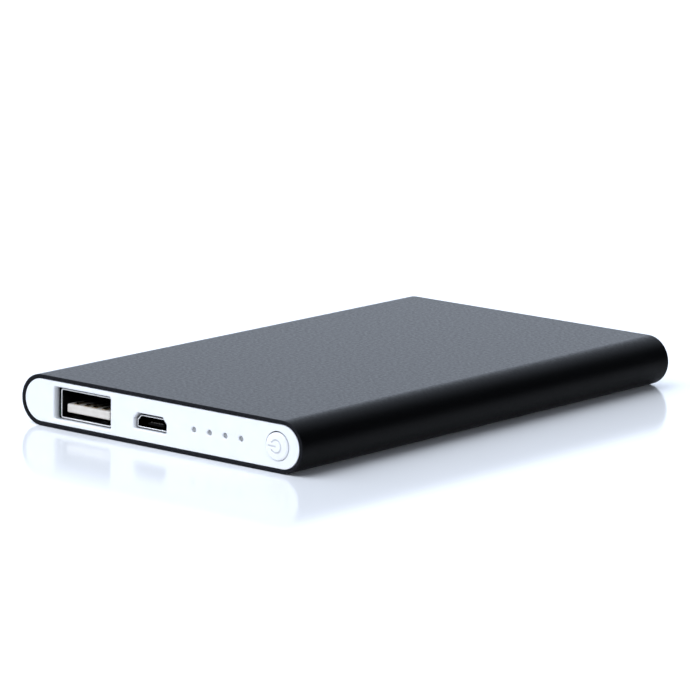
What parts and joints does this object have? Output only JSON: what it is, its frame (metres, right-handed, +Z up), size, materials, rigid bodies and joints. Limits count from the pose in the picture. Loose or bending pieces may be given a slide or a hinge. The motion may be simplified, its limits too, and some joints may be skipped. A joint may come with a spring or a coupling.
{
  "type": "power bank",
  "caption": "Slim pocket power bank: flat anodised tube with rounded sides, white end caps, USB-A output, micro-USB input, charge lights and a push button.",
  "frame": {"origin": "middle of the footprint, on the surface that the power bank lies on", "axes": "+Y runs from the port end to the rear end, +Z is up through the thickness, +X is to the right as the port end is faced, towards the button"},
  "size_m": [0.07, 0.1153, 0.01],
  "materials": {
    "shell": "black anodised, fine satin blast",
    "cap_plastic": "white, satin moulded",
    "tray_plastic": "black moulded ABS",
    "adhesive": "double-sided foam tape",
    "foam": "open-cell foam",
    "pouch": "aluminium laminate pouch, satin",
    "board": "green solder mask on glass-fibre board",
    "port_steel": "nickel-plated sheet steel",
    "port_white": "warm white glass-filled plastic",
    "port_black": "black glass-filled plastic",
    "gilt": "gilt copper alloy",
    "light_pipe": "clear acrylic, frosted ends",
    "lamp": "LED package, pale resin",
    "switch_plastic": "black moulded plastic",
    "spring_steel": "stainless spring sheet",
    "nickel": "nickel strip",
    "red_insulation": "red silicone insulation",
    "black_insulation": "black silicone insulation",
    "ferrite": "moulded ferrite",
    "chip": "black epoxy package",
    "capacitor_ceramic": "tan ceramic with tinned ends",
    "screw_steel": "zinc-plated steel"
  },
  "bodies": {
    "case": {"housing_tube": "shell", "front_cap": "cap_plastic", "rear_cap": "cap_plastic", "inner_tray": "tray_plastic", "tray_adhesive_strip": "adhesive", "cell_foam_pad": "foam", "battery_cell": "pouch", "protection_board": "board", "protection_chip": "chip", "cell_tab_positive": "nickel", "cell_tab_negative": "nickel", "battery_lead_red": "red_insulation", "battery_lead_black": "black_insulation", "circuit_board": "board", "board_screw_left": "screw_steel", "board_screw_right": "screw_steel", "usb_a_shell": "port_steel", "usb_a_insulator": "port_white", "usb_a_contact_1": "gilt", "usb_a_contact_2": "gilt", "usb_a_contact_3": "gilt", "usb_a_contact_4": "gilt", "micro_usb_shell": "port_steel", "micro_usb_insulator": "port_black", "micro_usb_contact_1": "gilt", "micro_usb_contact_2": "gilt", "micro_usb_contact_3": "gilt", "micro_usb_contact_4": "gilt", "micro_usb_contact_5": "gilt", "light_guide": "light_pipe", "indicator_led_1": "lamp", "indicator_led_2": "lamp", "indicator_led_3": "lamp", "indicator_led_4": "lamp", "switch_body": "switch_plastic", "switch_dome": "spring_steel", "power_inductor": "ferrite", "controller_chip": "chip", "boost_transistor": "chip", "capacitor_1": "capacitor_ceramic", "capacitor_2": "capacitor_ceramic", "capacitor_3": "capacitor_ceramic", "resistor_1": "chip", "resistor_2": "chip", "resistor_3": "chip"},
    "button": {"power_button": "cap_plastic"},
    "plunger": {"switch_plunger": "switch_plastic"}
  },
  "joints": [
    {"name": "button_press", "type": "slide", "parent": "case", "child": "button", "axis": [0, 1, 0], "range_m": [0, 0.0003], "stiffness_N_per_m": 1500, "springref_m": -0.0002},
    {"name": "plunger_press", "type": "slide", "parent": "case", "child": "plunger", "axis": [0, 1, 0], "range_m": [0, 0.0003], "deforming": ["switch_dome"]}
  ],
  "couplings": [
    {"joint": "plunger_press", "follows": "button_press", "ratio": 1}
  ]
}
